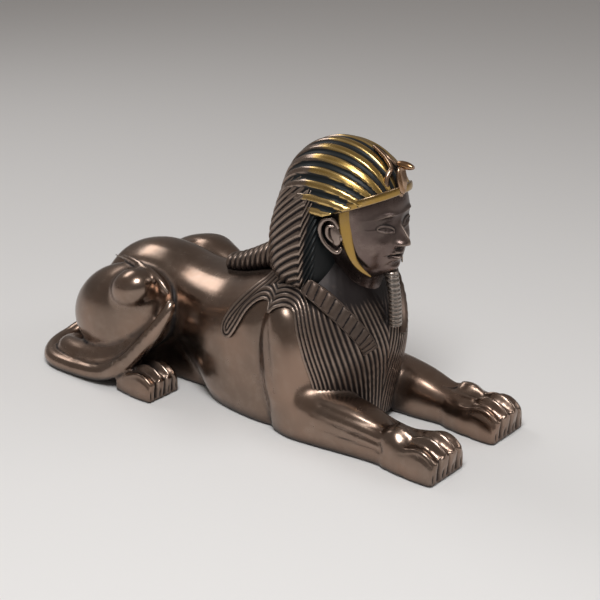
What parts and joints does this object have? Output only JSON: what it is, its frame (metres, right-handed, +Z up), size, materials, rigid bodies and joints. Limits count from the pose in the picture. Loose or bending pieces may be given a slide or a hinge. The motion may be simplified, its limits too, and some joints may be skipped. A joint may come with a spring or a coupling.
{
  "type": "sphinx statue",
  "caption": "Couchant Egyptian sphinx figure: lion's body with forelegs stretched out and tail round one haunch, human head with striped headcloth, cobra and plaited beard.",
  "frame": {"origin": "bottom centre of the figure's bounding box, on the surface it lies on", "axes": "+Z up, the sphinx looks along -Y, its own left side is +X; the tail lies on its right, the -X side"},
  "size_m": [0.1173, 0.2861, 0.1588],
  "materials": {
    "bronze": "polished grey-brown cold-cast bronze with a dark patina in the recesses; gold and black paint on the headcloth"
  },
  "bodies": {
    "root": {"sphinx_casting": "bronze"}
  },
  "joints": []
}
